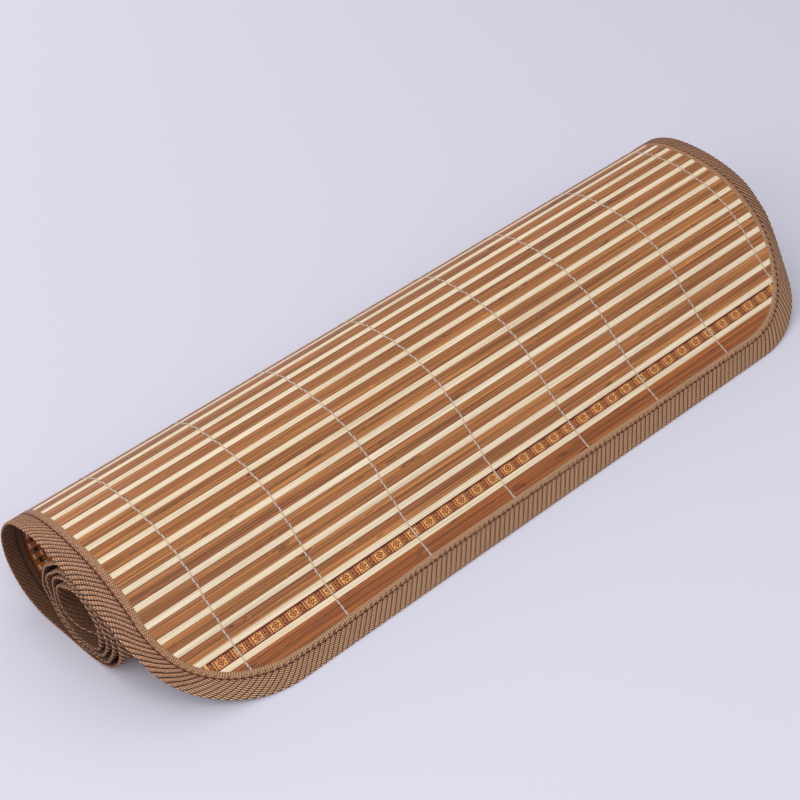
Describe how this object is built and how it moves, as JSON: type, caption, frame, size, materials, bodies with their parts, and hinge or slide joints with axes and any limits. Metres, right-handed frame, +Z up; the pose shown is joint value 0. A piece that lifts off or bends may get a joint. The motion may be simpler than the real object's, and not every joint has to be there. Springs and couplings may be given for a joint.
{
  "type": "rolled bamboo sleeping mat",
  "caption": "Bamboo slat sleeping mat with a sewn fabric tape edge, loosely rolled, its free end lying forward on the floor.",
  "frame": {"origin": "middle of the roll's footprint, on the floor", "axes": "+X along the slats, from the end nearer the camera to the far end; -Y towards the free end that lies forward; +Z up"},
  "size_m": [0.9045, 0.3034, 0.127],
  "materials": {
    "bamboo": "satin brown and cream bamboo slats",
    "binding_tape": "matte woven tan and dark brown tape"
  },
  "bodies": {
    "root": {"slat_cloth": "bamboo", "edge_binding": "binding_tape"}
  },
  "joints": []
}
